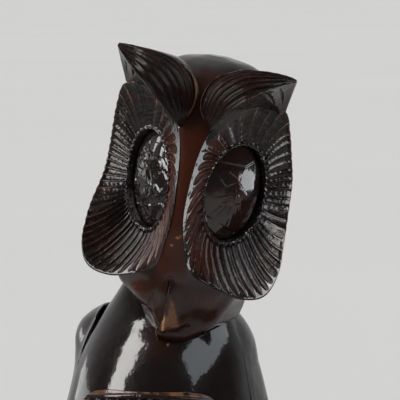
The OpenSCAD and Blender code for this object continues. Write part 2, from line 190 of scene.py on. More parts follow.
def along(points, u):
    """Points at u along an open Catmull-Rom run of stations."""
    n = len(points) - 1
    k = np.minimum(np.floor(u).astype(int), n - 1)
    s = (u - k).reshape(-1, *[1] * (points.ndim - 1))
    a, b, c, d = points[np.maximum(k - 1, 0)], points[k], points[k + 1], points[np.minimum(k + 2, n)]
    return hermite(b, c, (c - a) / 2, (d - b) / 2, 1, s)


def step(a, b, x):
    """Smooth step from 0 at a to 1 at b."""
    t = np.clip((np.asarray(x, float) - a) / (b - a), 0, 1)
    return t * t * (3 - 2 * t)


def between(a, b, c, d, x):
    """Smooth window that opens from a to b and closes from c to d."""
    return step(a, b, x) * step(c, d, x)


def bell(x):
    """A soft bump, 1 at 0 and next to nothing beyond 2."""
    return np.exp(-(x**2))


def spot(x, z, at_x, at_z, wide, high):
    """A soft round spot, 1 in its middle."""
    return np.exp(-(((x - at_x) / wide) ** 2 + ((z - at_z) / high) ** 2))


def joined(*parts):
    """Coordinates, spread over each other's shapes, as one array of points."""
    return np.stack(np.broadcast_arrays(*parts), axis=-1)


def channels(c):
    """(place across its channel from -1 to 1, number of the channel) for channels one unit wide."""
    number = np.floor(c)
    return 2 * (c - number) - 1, number.astype(int)


def lattice(i, seed):
    """A fixed random value from -1 to 1 at each whole-number lattice point."""
    h = (i[..., 0] * 73856093) ^ (i[..., 1] * 19349663) ^ (i[..., 2] * 83492791) ^ (seed * 2654435761)
    h = (h ^ (h >> 13)) * 1274126177 & 0xFFFFFFFF
    return ((h ^ (h >> 16)) & 0xFFFF) / 32767.5 - 1


def noise(p, size, seed=0):
    """Smooth noise from -1 to 1 over points, with features of about that size, or sizes by axis."""
    q = np.asarray(p, float) / size
    i = np.floor(q).astype(np.int64)
    f = q - i
    f = f * f * (3 - 2 * f)
    out = 0
    for corner in np.ndindex(2, 2, 2):
        c = np.array(corner)
        out = out + lattice(i + c, seed) * np.prod(np.where(c, f, 1 - f), axis=-1)
    return out


def facets(p, count, tilt, seed):
    """Height of a broken, faceted surface: each point leans with the cell that it's nearest to."""
    draw = np.random.default_rng(seed)
    flat = p.reshape(-1, p.shape[-1])
    cells = flat[draw.integers(0, len(flat), count)]
    lean = draw.uniform(-tilt, tilt, cells.shape)
    near = np.argmin(((flat[:, None] - cells[None]) ** 2).sum(-1), axis=1)
    return ((flat - cells[near]) * lean[near]).sum(-1).reshape(p.shape[:-1])


def outward(grid, centre):
    """Unit normals of a grid closed round its second axis, facing away from a centre."""
    n = np.cross((np.roll(grid, -1, axis=1) - np.roll(grid, 1, axis=1)) / 2, np.gradient(grid, axis=0))
    n = n / np.maximum(np.linalg.norm(n, axis=-1, keepdims=True), 1e-9)
    return n * np.sign(((grid - centre) * n).sum(-1).mean())


def to_world(p):
    """From the head's own frame, which tilts sideways, to the owl's."""
    c, s = cos(HEAD_TILT), sin(HEAD_TILT)
    x, y, z = p[..., 0], p[..., 1], p[..., 2]
    return HEAD_AT + joined(x * c + z * s, y, z * c - x * s)


def mirrored(p, side):
    return p * np.array([side, 1, 1])


# ---------------------------------------------------------------- materials


class Nodes:
    """A short way to write the node tree of a material or of the world."""

    def __init__(self, owner, coordinates="Object"):
        owner.use_nodes = True
        self.owner = owner
        self.tree = owner.node_tree
        self.place = self.add("ShaderNodeTexCoord").outputs[coordinates]

    def link(self, source, target):
        """Connect a socket, or set a number, a vector or a colour."""
        if isinstance(source, bpy.types.NodeSocket):
            self.tree.links.new(source, target)
        elif isinstance(source, tuple) and len(source) < len(target.default_value):
            target.default_value = (*source, 1)
        else:
            target.default_value = source

    def add(self, kind, inputs=None, **settings):
        node = self.tree.nodes.new(kind)
        for key, value in settings.items():
            setattr(node, key, value)
        for key, value in (inputs or {}).items():
            self.link(value, node.inputs[key])
        return node

    def mark(self, name):
        """What the mesh says of each point under that name."""
        return self.add("ShaderNodeAttribute", attribute_name=name).outputs["Fac"]

    def noise(self, size, detail, rough, stretch=(1, 1, 1), warp=0.0):
        """Noise whose features are about size metres across, longer along the axes that are stretched."""
        shrink = tuple(1 / s for s in stretch)
        spread = self.add("ShaderNodeMapping", {"Vector": self.place, "Scale": shrink}).outputs["Vector"]
        inputs = {"Vector": spread, "Scale": 1 / size, "Detail": detail, "Roughness": rough}
        return self.add("ShaderNodeTexNoise", {**inputs, "Distortion": warp}).outputs["Fac"]

    def math(self, operation, a, b, clamp=False):
        return self.add("ShaderNodeMath", {0: a, 1: b}, operation=operation, use_clamp=clamp).outputs[0]

    def times(self, a, b):
        return self.math("MULTIPLY", a, b)

    def ramp(self, value, low, high, to_low=0.0, to_high=1.0):
        inputs = {"Value": value, "From Min": low, "From Max": high, "To Min": to_low, "To Max": to_high}
        return self.add("ShaderNodeMapRange", inputs, interpolation_type="SMOOTHSTEP").outputs["Result"]

    def mix(self, factor, a, b):
        return self.add("ShaderNodeMix", {0: factor, 6: a, 7: b}, data_type="RGBA").outputs[2]

    def bump(self, height, distance, under=None):
        inputs = {"Distance": distance, "Height": height}
        if under is not None:
            inputs["Normal"] = under
        return self.add("ShaderNodeBump", inputs).outputs["Normal"]

    def shade(self, inputs, shader="Principled BSDF"):
        """Fill in the tree's own shader, and hand back what the tree belongs to."""
        for key, value in inputs.items():
            self.link(value, self.tree.nodes[shader].inputs[key])
        return self.owner


BLACK_LACQUER = (0.0072, 0.0055, 0.0050)
# Painted shade: a deeper black that the colour darkens to wherever a piece is marked hollow.
PAINTED_SHADE_LACQUER = (0.0030, 0.0022, 0.0020)  # in the cuts
RED_LACQUER = (0.046, 0.0120, 0.0062)
RUBBED = (0.15, 0.062, 0.026)
BARE_WOOD = (0.56, 0.25, 0.055)
DUST = (0.20, 0.17, 0.15)


def lacquer(name, red, rough, gloss, pores, wobble, dust=0.0):
    """Dark lacquered wood. red is the share of red-brown showing through, gloss the clear coat, pores
    and wobble the roughness of the grain and of the polished film, and dust the dull grey left in its
    hollows. The marks wear, red, hollow and glint say where the piece is rubbed, redder, cut in and left
    with the gouge's chatter under a patchy gloss. Where hollow is marked, the colour is also darkened
    as painted shade."""
    m = Nodes(bpy.data.materials.new(name))
    hollow, glint = m.mark("hollow"), m.mark("glint")
    grain = m.noise(0.0011, 3.0, 0.6, stretch=(1, 1, 16), warp=0.3)
    specks = m.noise(0.0007, 2.0, 0.5)

    broad = m.ramp(m.noise(0.028, 4.0, 0.6, warp=0.6), 0.36, 0.66)
    red_here = m.math("ADD", broad, m.times(m.ramp(grain, 0.4, 0.75), 0.45))
    tone = m.math("MULTIPLY", red_here, red, clamp=True)
    tone = m.math("ADD", tone, m.mark("red"), clamp=True)
    # Painted shade: the colour darkens where the hollow mark is.
    colour = m.mix(m.times(hollow, 0.75), BLACK_LACQUER, PAINTED_SHADE_LACQUER)
    colour = m.mix(tone, colour, RED_LACQUER)
    chips = m.math("SUBTRACT", m.noise(0.0016, 4.0, 0.65), 0.5)
    worn = m.math("ADD", m.mark("wear"), m.times(chips, 0.7))
    colour = m.mix(m.ramp(worn, 0.28, 0.62), colour, RUBBED)
    colour = m.mix(m.ramp(worn, 0.80, 0.95), colour, BARE_WOOD)
    colour = m.mix(m.times(hollow, m.ramp(specks, 0.5, 0.8, 0, dust)), colour, DUST)

    smear = m.noise(0.009, 5.0, 0.6, stretch=(1, 1, 2.5))
    roughness = m.ramp(smear, 0.3, 0.75, rough * 0.7, rough * 1.5)
    roughness = m.math("ADD", roughness, m.times(m.ramp(worn, 0.3, 0.8), 0.22))
    roughness = m.math("ADD", roughness, m.times(hollow, 0.06))

    film = m.bump(m.noise(0.006, 3.0, 0.5, stretch=(1, 1, 1.6)), 0.00035 * wobble)
    fibre = m.times(m.ramp(grain, 0.52, 0.7), m.ramp(specks, 0.45, 0.6))
    fibre = m.bump(fibre, 0.00005 * pores, under=film)
    pits = m.bump(m.ramp(m.noise(0.0009, 2.0, 0.5), 0.30, 0.42), 0.00005 * pores, under=fibre)
    chatter = m.times(m.noise(0.0011, 3.0, 0.6, stretch=(1.6, 1.6, 1)), glint)

    even = m.times(m.math("SUBTRACT", 1.0, m.times(hollow, 0.92)), gloss)
    patchy = m.ramp(m.noise(0.0028, 3.0, 0.6), 0.50, 0.58)
    patchy = m.times(patchy, m.ramp(glint, 0.2, 0.8, 0.10 * gloss, gloss))
    return m.shade({
        "Base Color": colour, "Roughness": roughness, "Normal": pits, "IOR": 1.45, "Specular IOR Level": 0.12,
        "Coat Weight": m.math("MAXIMUM", even, patchy), "Coat Normal": m.bump(chatter, 0.0005, under=film),
        "Coat Roughness": 0.07, "Coat IOR": 1.48,
    })


def plain_dowel_wood():
    """Pale turned hardwood, for the dowels that hold the pieces together."""
    m = Nodes(bpy.data.materials.new("dowel_wood"))
    grain = m.noise(0.0008, 4.0, 0.6, stretch=(1, 1, 22), warp=0.4)
    colour = m.mix(m.ramp(grain, 0.35, 0.7), (0.52, 0.33, 0.17), (0.36, 0.20, 0.09))
    colour = m.mix(m.ramp(m.noise(0.012, 2.0, 0.5), 0.4, 0.7, 0, 0.4), colour, (0.60, 0.42, 0.24))
    return m.shade({"Base Color": colour, "Roughness": m.ramp(grain, 0.3, 0.7, 0.5, 0.7),
                    "Normal": m.bump(grain, 0.0001)})


def felt():
    """Dark green felt with a short nap."""
    m = Nodes(bpy.data.materials.new("green_felt"))
    fuzz = m.noise(0.0005, 5.0, 0.7, warp=1.2)
    colour = m.mix(m.ramp(fuzz, 0.3, 0.7), (0.010, 0.030, 0.018), (0.030, 0.070, 0.045))
    colour = m.mix(m.ramp(m.noise(0.012, 3.0, 0.5), 0.4, 0.7, 0, 0.5), colour, (0.016, 0.040, 0.030))
    return m.shade({"Base Color": colour, "Roughness": m.ramp(fuzz, 0.3, 0.7, 0.85, 1.0),
                    "Normal": m.bump(fuzz, 0.0004), "Sheen Weight": 0.35, "Sheen Roughness": 0.5})


MATERIALS = {  # by slot
    "carved_wood": lacquer("carved_wood", red=0.16, rough=0.24, gloss=0.8, pores=1.2, wobble=0.8, dust=0.10),
    "body_wood": lacquer("polished_body", red=0.05, rough=0.17, gloss=1.0, pores=0.5, wobble=0.5),
    "head_wood": lacquer("polished_head", red=0.12, rough=0.22, gloss=0.9, pores=0.6, wobble=0.6),
    "eye_wood": lacquer("eye_lacquer", red=0.08, rough=0.12, gloss=1.0, pores=0.8, wobble=0.9),
    "stump_wood": lacquer("stump_wood", red=0.55, rough=0.34, gloss=0.35, pores=2.0, wobble=1.0, dust=0.8),
    "felt": felt(),
}


# ---------------------------------------------------------------- meshes


def make_piece(name, grid, node, slot, marks=None, loop=False):
    """A piece from a grid of points in millimetres, its rows closed round. Its ends are joined to each
    other (loop) or capped. marks are named values, one for each point, that its material reads."""
    here = np.arange(grid.shape[0] * grid.shape[1]).reshape(grid.shape[:2])
    marks = {m: np.broadcast_to(v, here.shape).reshape(-1) for m, v in (marks or {}).items()}
    ends = [] if loop else [here[0, ::-1], here[-1]]
    beside = np.roll(here, -1, axis=1)
    quads = joined(here, beside, np.roll(beside, -1, axis=0), np.roll(here, -1, axis=0))
    quads = quads[:None if loop else -1].reshape(-1, 4)
    verts = grid.reshape(-1, 3)
    faces = quads.tolist()
    for ring in ends:
        same_way = np.sort(ring)
        verts = np.vstack([verts, verts[same_way].mean(0)])
        marks = {m: np.append(v, v[same_way].mean()) for m, v in marks.items()}
        faces += [[len(verts) - 1, int(a), int(b)] for a, b in zip(ring, np.roll(ring, -1))]
    corners = verts[quads]
    volume = sum((corners[:, 0] * np.cross(corners[:, i], corners[:, i + 1])).sum() for i in (1, 2))
    if volume < 0:
        faces = [f[::-1] for f in faces]
    mesh = bpy.data.meshes.new(name)
    mesh.from_pydata((verts * MM).tolist(), [], faces)
    mesh.polygons.foreach_set("use_smooth", [True] * len(mesh.polygons))
    for mark, values in marks.items():
        layer = mesh.attributes.new(mark, "FLOAT", "POINT")
        layer.data.foreach_set("value", values.astype(np.float32))
    mesh.update()
    obj = bpy.data.objects.new(name, mesh)
    bpy.context.scene.collection.objects.link(obj)
    mesh.materials.append(MATERIALS[slot])
    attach(obj, "root")
    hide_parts(node)


def backed(face, back, **marks):
    """(a carved face with its plain back, its marks). Marks that vary across the face are nil behind it."""
    for name, value in marks.items():
        if np.shape(value)[-1:] == face.shape[1:2]:
            marks[name] = np.pad(np.broadcast_to(value, face.shape[:2]), ((0, 0), (0, back.shape[1])))
    return np.concatenate([face, back], axis=1), marks


def padded(marks, shape, before=0, after=0):
    """Marks over rows of points, with rows of zeros before and after them."""
    return {m: np.pad(np.broadcast_to(v, shape), ((before, after), (0, 0))) for m, v in marks.items()}


def sided(side, part):
    """Name of one of a pair of parts: side is 1 for the owl's left, -1 for its right."""
    return f"{'left' if side > 0 else 'right'}_{part}"


def spans(*parts):
    """Evenly spaced values over spans (start, end, count) that are laid end to end."""
    return np.concatenate([np.linspace(*part)[:-1] for part in parts[:-1]] + [np.linspace(*parts[-1])])


# ---------------------------------------------------------------- face discs

ACROSS_EYE = np.array([cos(EYE_SLOPE), sin(EYE_SLOPE), 0])
UP_EYE = np.array([sin(EYE_SLOPE) * sin(EYE_LEAN), -cos(EYE_SLOPE) * sin(EYE_LEAN), cos(EYE_LEAN)])
OUT_OF_EYE = np.array([sin(EYE_SLOPE) * cos(EYE_LEAN), -cos(EYE_SLOPE) * cos(EYE_LEAN), -sin(EYE_LEAN)])


def rim_at(a, k=1.0, out=0.0):
    """Points at angles round the socket's rim, or at k times its size, and out from its sloping face."""
    u, v, out = np.broadcast_arrays(k * EYE_W / 2 * np.cos(a), k * EYE_H / 2 * np.sin(a), out)
    return EYE_AT + u[..., None] * ACROSS_EYE + v[..., None] * UP_EYE + out[..., None] * OUT_OF_EYE


def rim_angle(p):
    """Angles round the rim at which points lie, seen from in front."""
    return np.arctan2((p[..., 2] - EYE_AT[2]) / EYE_H, (p[..., 0] - EYE_AT[0]) / (EYE_W * cos(EYE_SLOPE)))


def rim_reach(p):
    """How far points lie from the eye's middle, seen from in front, where the rim is at 1."""
    wide, high = EYE_W * cos(EYE_SLOPE) / 2, EYE_H / 2
    return np.hypot((p[..., 0] - EYE_AT[0]) / wide, (p[..., 2] - EYE_AT[2]) / high)


def disc_level(p):
    """(share of the way from the socket's rim to the disc's edge, depth of the disc) where points lie,
    seen from in front. The share is under 0 in the socket and over 1 outside the disc."""
    edge = round_at(DISC, np.linspace(0, len(DISC), 721)[:-1])
    a, here = rim_angle(edge), rim_angle(p)
    order = np.argsort(a)
    known = rim_reach(edge), edge[:, 1]
    reach, y_edge = (np.interp(here, a[order], v[order], period=2 * pi) for v in known)
    y_rim = rim_at(here)[..., 1]
    share = (rim_reach(p) - 1) / (reach - 1)
    return share, y_rim + (y_edge - y_rim) * np.clip(share, 0, 1)


def behind_edge(edge):
    """The back of the disc's edge, drawn in a little towards the eye."""
    return edge + joined((EYE_AT[0] - edge[:, 0]) * 0.03, DISC_EDGE_T, (EYE_AT[2] - edge[:, 2]) * 0.03)


# Flutes for each stretch between two outline points, from the inner top down the nose, along the foot,
# up the outer side and over the top: on the owl's left disc, and on its right one with finer cuts.
FLUTES_PER_STRETCH = {
    1: np.array([2.2, 2.2, 2.1, 2.1, 2.2, 2.6, 3.2, 2.8, 2.6, 2.4, 2.3, 2.2, 2.1, 2.0, 2.0, 2.2, 2.9, 2.3]),
    -1: np.array([2.4, 2.4, 2.3, 2.2, 2.3, 2.7, 3.3, 3.0, 3.0, 3.3, 3.3, 3.1, 2.9, 2.6, 2.1, 2.2, 3.0, 2.9]),
}
# How many flutes' width each cut leans along the edge from its root to its tip, at the outline points.
LEAN = np.array([1.7, 2.1, 2.1, 2.1, 2.3, 2.8, 3.1, 2.7, 2.2, 1.5, 0.9, 0.3, -0.2, -0.7, -1.2, -1.4,
                 -1.1, 0.0])
# Plain margin past the tips of the cuts, as a share of their length, at the outline points.
MARGIN = np.array([0.24, 0.25, 0.2, 0.1, 0.07, 0.05, 0.035, 0.035, 0.04, 0.05, 0.05, 0.05, 0.05, 0.05, 0.06,
                   0.08, 0.10, 0.18])
CUT_POINTS = 14  # across each flute or groove
EDGE_WEAR = 0.62


def face_disc(side, seed):
    """A disc fluted with a gouge from the socket's rim to its outer edge. On its inner and lower sides
    each cut runs out in a point on the smooth margin that is left."""
    draw = np.random.default_rng(seed)
    counts = FLUTES_PER_STRETCH[side]
    flutes = int(round(counts.sum()))
    starts = np.concatenate([[0], np.cumsum(counts)]) * flutes / counts.sum()
    outline = np.arange(len(starts))

    def edge_at(flute):
        """The disc's edge at places counted in flutes."""
        return round_at(DISC, np.interp(flute % flutes, starts, outline))

    # Where round the disc each column stands, and how much it belongs to each of its sides.
    f = np.arange(flutes * CUT_POINTS) / CUT_POINTS
    u = np.interp(f, starts, outline)
    straight_edge = edge_at(f)
    stop = np.clip((38 - straight_edge[:, 0] - 0.3 * straight_edge[:, 2]) / 12, 0, 1)  # 0 on the outer side
    nose = between(6.3, 4.6, -0.6, 0.6, u) + step(17, 17.8, u)
    foot = between(4.8, 5.6, 9.6, 8.8, u)
    top = step(14.4, 15.4, u) * (1 - step(17.2, 17.9, u))
    lean, margin = (np.interp(u, outline, np.append(v, v[0])) for v in (LEAN, MARGIN))

    # Each flute has its own depth, length and wander.
    q, number = channels(f)
    deep = draw.uniform(0.8, 1.15, flutes)[number]
    longer = draw.uniform(-1, 1, flutes)[number]
    wander = draw.uniform(-0.15, 0.15, flutes)
    place = np.interp(f, np.arange(flutes + 1), np.arange(flutes + 1) + np.append(wander, wander[0]))
    s = spans((0, 0.12, 14), (0.12, 0.8, 40), (0.8, 1, 22))[:, None]  # from the root to the tip
    edge = edge_at(place + lean * s**1.15)
    rim = rim_at(rim_angle(edge))
    base = rim + (edge - rim) * s[..., None]

    tip = 1 - margin * (1 + 0.35 * longer)
    taper = 0.13 + 0.24 * nose + 0.04 * foot
    point = np.clip((tip - s) / taper, 0, 1) ** 0.8
    over_edge = 1 - 0.8 * step(0.90, 0.99, s)
    running = stop * point + (1 - stop) * over_edge
    rise = step(0.0, 0.13, s)
    full = FLUTE_DEPTH * deep * (1 - 0.3 * top) * (1 - 0.2 * nose)
    cut = np.maximum(0, full * (1.06 * rise * running - np.abs(q) ** (2.1 + 1.3 * (1 - stop))))
    # The uncut face: a rolled margin at the foot's edge and a slight hollow towards the socket.
    roll = 0.7 * step(0.95, 1.0, s) ** 2 * foot
    sag = 0.4 * np.sin(pi * s) * stop * (1 - nose)
    # Chatter of the gouge along each cut, and torn grain beside the socket.
    mm_along = s * np.linalg.norm(straight_edge - rim_at(rim_angle(straight_edge)), axis=1)
    where = joined(mm_along, number * 9.0 + q * 0.8, 0)
    chatter = noise(where, (1.1, 2.5, 1.0), seed) * (0.06 + 0.05 * (1 - stop))
    chatter += noise(where, (3.2, 3.5, 1.0), seed + 1) * (0.09 + 0.07 * (1 - stop))
    ripple = np.sin(2 * pi * (mm_along + 1.1 * deep + 0.25 * q**2) / 2.3 + 2.2 * noise(where, 2.6, seed + 9))
    chatter += 0.10 * ripple * (1 - nose) * (1 - foot) * (0.6 + 0.4 * noise(base, 5.0, seed + 10))
    torn = noise(base, 0.95, seed + 2) * 0.55 * (1 - step(0.02, 0.13, s))
    torn += noise(base, 0.5, seed + 3) * 0.30 * (1 - step(0.02, 0.12, s))
    lip = 0.55 * bell((s - 0.045) / 0.03)
    crest = np.abs(q) ** 10
    nick = np.maximum(0, noise(base, 1.6, seed + 5) - 0.35) * crest * rise * 0.9
    down = cut + roll + sag - chatter * np.clip(cut, 0, 1) - lip - torn + nick
    top_face = base - down[..., None] * OUT_OF_EYE

    # Round the outer edge, and down the back, where the lean is unwound on the way to the socket.
    front, back = top_face[-1], behind_edge(edge[-1])
    away = edge[-1] - rim[-1]
    away = away / np.linalg.norm(away, axis=1)[:, None] * (1 - stop[:, None] * 0.8)
    edge_roll = [front + (back - front) * t + away * 0.30 * sin(pi * t) for t in (0.12, 0.3, 0.6, 0.85)]
    under = []
    for t in (0, 0.25, 0.5, 0.75):
        far = behind_edge(edge_at(place + lean * (1 - t)))
        under.append(far + (rim_at(rim_angle(far), 1.0, -DISC_RIM_T) - far) * t)
    # Up the socket's wall, which the lean doesn't reach.
    angle = rim_angle(edge_at(place))
    out = rim_at(angle) - EYE_AT
    out = out / np.linalg.norm(out, axis=1)[:, None]
    walls = []
    for t in np.linspace(1, 0.06, 13):
        inset = 0.02 * step(0.0, 0.8, t) + 0.012 * bell((t - 0.28) / 0.08)
        wall = rim_at(angle, 1 - inset, -DISC_RIM_T * t)
        walls.append(wall - noise(wall, (2.2, 2.2, 5.0), seed + 7)[:, None] * 0.22 * out)
    grid = np.concatenate([top_face, edge_roll, under, walls])

    wear = crest * rise * step(0.15, 0.5, s) * (0.50 + 0.42 * noise(base, 4.0, seed + 8))
    wear = wear * (1.15 - 0.25 * stop) * (1 - 0.5 * stop * step(0.8, 0.95, s))
    corner = spot(front[:, 0], front[:, 2], 45, -36, 4, 7)
    wear = np.maximum(wear, step(0.965, 1.0, s) * (1 - stop) * EDGE_WEAR) + corner * 0.35 * step(0.9, 1.0, s)
    deep_cut = np.clip(cut / FLUTE_DEPTH, 0, 1)
    in_cut = step(0.03, 0.2, cut)
    # The hollow mark darkens the colour in the cuts as painted shade, most over the top under the tuft, and
    # dulls their gloss.
    marks = padded({
        "wear": np.maximum(wear, 0),
        "hollow": np.clip(in_cut * nose + deep_cut * (0.25 + 0.5 * top) + in_cut * foot, 0, 1),
        "red": 0.85 * nose * in_cut + 0.08 * deep_cut,
        "glint": deep_cut * np.clip(1 - nose - 0.6 * foot, 0, 1),
    }, cut.shape, after=len(grid) - len(s))
    marks["wear"][len(s):len(s) + 3] = (1 - stop) * EDGE_WEAR + corner * 0.4
    # The socket's wall is marked hollow too: painted shade in it.
    marks["hollow"][-len(walls):] = 0.2
    name = sided(side, "face_disc")
    make_piece(name + "_carved", to_world(mirrored(grid, side)), name, "carved_wood", marks, loop=True)


# The right eye was left in many small facets, the left one in a few broad ones.
EYE_CUT = {1: (13, 0.07, 0.0, 0.45), -1: (80, 0.20, 0.16, 0.30)}  # broad facets, their tilt, fine tilt, swell
FINE_FACETS = 420
SCRATCH_TURN, SCRATCH_OFF = 0.52, 6.5  # radians down from level, and mm from the left eye's middle


def eye(side, seed):
    """A dome that the gouge left in broken facets, under its gloss."""
    a = np.linspace(0, 2 * pi, 181)[:-1]
    lift = np.linspace(0, pi / 2, 74)[:-1, None]
    k = np.cos(lift)
    count, tilt, fine_tilt, swelling = EYE_CUT[side]
    flat = joined(k * EYE_W / 2 * np.cos(a), k * EYE_H / 2 * np.sin(a), 0)
    broken = facets(flat[..., :2], count, tilt, seed)
    fine = facets(flat[..., :2], FINE_FACETS, fine_tilt, seed + 1)
    swell = noise(flat, (8.0, 10.0, 1.0), seed + 2) * swelling
    # Streaks of the gouge over the lower half, fanning out from the middle.
    streak = noise(joined(a / 0.12, k * 2.0, 0), 1.0, seed + 6) * 0.10
    streak = streak * step(0.1, -0.5, np.sin(a)) * step(1.0, 0.6, k)
    patch = step(-0.1, 0.35, noise(flat, 8.0, seed + 4))
    plain = -SOCKET_DEPTH * 0.62 + DOME_RISE * 0.86 * np.sin(lift) ** 1.6
    height = plain + (broken * 0.75 + fine * 0.5 * patch + swell + streak) * step(0.99, 0.9, k) - 0.1
    dome = rim_at(a, 0.97 * k, height)
    skirt = np.stack([rim_at(a, 0.95, -DISC_RIM_T), rim_at(a, 0.97, -DISC_RIM_T * 0.85)])
    grid = np.concatenate([skirt, dome])

    mottle = noise(flat, 5.0, seed + 3)
    red = 0.02 + 0.05 * mottle
    wear = 0.0
    if side > 0:
        # Redder over the lower half: a painted reflection of the floor below.
        red = red + 0.08 + 0.11 * mottle + 0.15 * step(0.2, -0.6, np.sin(a))
        # A fine scratch down to bare wood.
        along_it = flat @ np.array([cos(SCRATCH_TURN), -sin(SCRATCH_TURN), 0])
        across_it = flat @ np.array([sin(SCRATCH_TURN), cos(SCRATCH_TURN), 0]) - SCRATCH_OFF
        wear = 0.8 * bell(across_it / 0.3) * between(-11, -9, -0.5, -2, along_it)
    # The rim and the skirt down in the socket are marked hollow: painted shade there, and a duller gloss.
    marks = {"hollow": 0.5 * step(0.96, 1.0, k), "wear": wear, "red": np.clip(red, 0, 1)}
    marks = padded(marks, dome.shape[:2], before=len(skirt))
    marks["hollow"][:len(skirt)] = 0.5
    name = sided(side, "eye")
    make_piece(name + "_dome", to_world(mirrored(grid, side)), name, "eye_wood", marks)


# ---------------------------------------------------------------- brow tufts

TUFT_GROOVES = 7
OUT_OF_TOP = np.array([0, -0.6, 0.8])
INTO_UNDERSIDE = np.array([0, 0.25, 0.97])
LEAVES = ((0.40, 0.075, 0.02, 0.75), (0.55, 0.06, 0.05, 0.85), (0.68, 0.06, 0.02, 0.7),
          (0.80, 0.045, 0.1, 0.7))  # cuts in the underside: place along the tuft, length, start, end


def leaf_cuts(t, v):
    """Depth of the leaf-shaped cuts at t along the tuft and v back across its underside."""
    leaf = 0
    for at, long, start, end in LEAVES:
        width = np.maximum(np.sin(pi * np.clip((v - start) / (end - start), 0, 1)), 0) * long * 0.42
        off = (t - at - 0.09 * v) / np.maximum(width, 1e-4)
        leaf = np.maximum(leaf, np.clip(1 - off**2, 0, 1) * (width > 0.002))
    return leaf * 0.8


def brow_tuft(side, seed):
    """A tuft like a swept wing: long gouge cuts along its top, a knife edge in front, and a smooth
    underside with a few leaf-shaped cuts."""
    draw = np.random.default_rng(seed)
    last = len(TUFT) - 1
    stations = TUFT.copy()
    if side > 0:
        outer = np.maximum(0, np.arange(len(TUFT)) - 3) / (last - 3)
        stations[:, :, 2] -= TUFT_DROOP * outer[:, None] ** 1.5
    u = np.linspace(0, last, 170)
    e, r, low_back, b = np.moveaxis(along(stations, u), 1, 0)
    wide = np.linalg.norm(r - e, axis=1)[:, None]
    s = np.linspace(0, 1, TUFT_GROOVES * CUT_POINTS + 1)[None]
    t = (u / last)[:, None]
    # Cuts run along the tuft and fan slightly: the channel number drifts with the station.
    c = s * TUFT_GROOVES + 0.18 * np.sin(2 * pi * t + 1.0) + 0.12 * draw.uniform(-1, 1)
    q, number = channels(c)
    depth = np.minimum(1.25, 0.085 * wide) * draw.uniform(0.85, 1.15, TUFT_GROOVES + 3)[number + 1]
    rim_band = step(0.93, 0.965, s) * (1 - step(0.42, 0.6, t))
    front_band = step(0.045, 0.0, s)
    cut = depth * (1 - q**2) * (1 - rim_band) * (1 - front_band) * (1 - 0.6 * (1 - step(0.015, 0.06, t)))
    where = joined(t * 75, c * 6, 0)
    chatter = noise(where, (3.0, 2.0, 1.0), seed) * 0.12
    chatter = (chatter + noise(where, (9.0, 3.0, 1.0), seed + 1) * 0.18) * np.clip(cut, 0, 1)
    raised = 0.45 * rim_band * np.sin(pi * np.clip((s - 0.93) / 0.07, 0, 1))
    plain = e[:, None] + (r - e)[:, None] * s[..., None]
    chipped = step(0.03, 0.0, s) * np.maximum(0, noise(plain, 1.1, seed + 9) - 0.05) * 0.9 * step(0.0, 0.1, t)
    up = 0.16 * wide * np.sin(pi * s) - cut + chatter + raised + chipped
    top = plain + up[..., None] * OUT_OF_TOP
    # The underside sweeps from the knife edge back to its foot on the disc.
    v = np.linspace(0, 1, 34)[None, 1:]
    leaf = leaf_cuts(t, v)
    concave = 0.9 * np.sin(pi * v) * between(0.0, 0.2, 1.0, 0.85, t)
    under = e[:, None] + (low_back - e)[:, None] * v[..., None]
    under = under + (concave + leaf)[..., None] * INTO_UNDERSIDE
    under[..., 2] += noise(under, 2.0, seed + 3) * 0.12 + noise(under, 0.8, seed + 4) * 0.05
    mid_back, up_back = joined(low_back[:, 0], b[:, 1], b[:, 2]), joined(r[:, 0] * 0.98, b[:, 1], r[:, 2] - 1.5)
    lines = (low_back, mid_back), (mid_back, up_back), (up_back, r)
    back = [m + (n - m) * k for m, n in lines for k in (0.5, 1)][:-1]
    grid = np.concatenate([top[:, ::-1], under, np.stack(back, axis=1)], axis=1)

    wear = np.abs(q) ** 9 * step(0.02, 0.1, t) * (0.36 + 0.34 * noise(top, 5.0, seed + 5)) + 0.42 * rim_band
    wear = np.maximum(wear, step(0.972, 1.0, t) * (0.62 + 0.4 * noise(top, 1.5, seed + 8)))
    wear = np.maximum(wear, step(0.025, 0.0, s) * (0.30 + 0.45 * noise(top, 2.5, seed + 6)))
    under_wear = 0.42 * step(0.12, 0.0, v) * (1 + noise(under, 2.0, seed + 7)) * 0.7
    under_wear = np.maximum(under_wear, 0.8 * step(0.97, 1.0, t))
    # The top is marked hollow all over, most in its cuts: its colour is darkened there as painted shade, and
    # its gloss dulled.
    dark = np.clip(0.78 + 0.22 * cut / np.maximum(depth, 0.1), 0, 1) * (1 - front_band)
    marks = {
        "glint": (front_band, 0.5 * leaf), "hollow": (dark, leaf), "red": (0.05 * dark, 0.45 * leaf),
        "wear": (np.clip(wear, 0, 1), np.clip(under_wear, 0, 1)),
    }
    bare = np.zeros((len(u), len(back)))
    for mark, (on_top, on_under) in marks.items():
        on_top = np.broadcast_to(on_top, top.shape[:2])[:, ::-1]
        marks[mark] = np.concatenate([on_top, on_under, bare], axis=1)
    name = sided(side, "brow_tuft")
    make_piece(name + "_carved", to_world(mirrored(grid, side)), name, "carved_wood", marks)


# ---------------------------------------------------------------- head and beak


def skull_ring(z, u):
    """Points round the skull at heights z, for places u round its ten control points."""
    r = rows(SKULL, z)
    p = np.zeros((len(r), 10, 2))
    p[:, 0, 1] = r[:, 1]
    for i, shift in enumerate((0, 0.6, 1, 1)):
        for place, turn in ((1 + i, -1), (9 - i, 1)):
            p[:, place] = joined(shift * r[:, 11] + turn * r[:, 2 * i + 2], r[:, 2 * i + 3])
    p[:, 5] = r[:, [11, 10]]
    q = round_at(p, u % 10)
    return joined(q[..., 0], q[..., 1], z[:, None])


# The ridge of the beak: height and sideways place in the head's frame, down to its tip.
RIDGE = np.array([[-66.6, -0.5], [-58, -0.1], [-51, 0.4], [-44, 0.5], [-40, 0.2]])
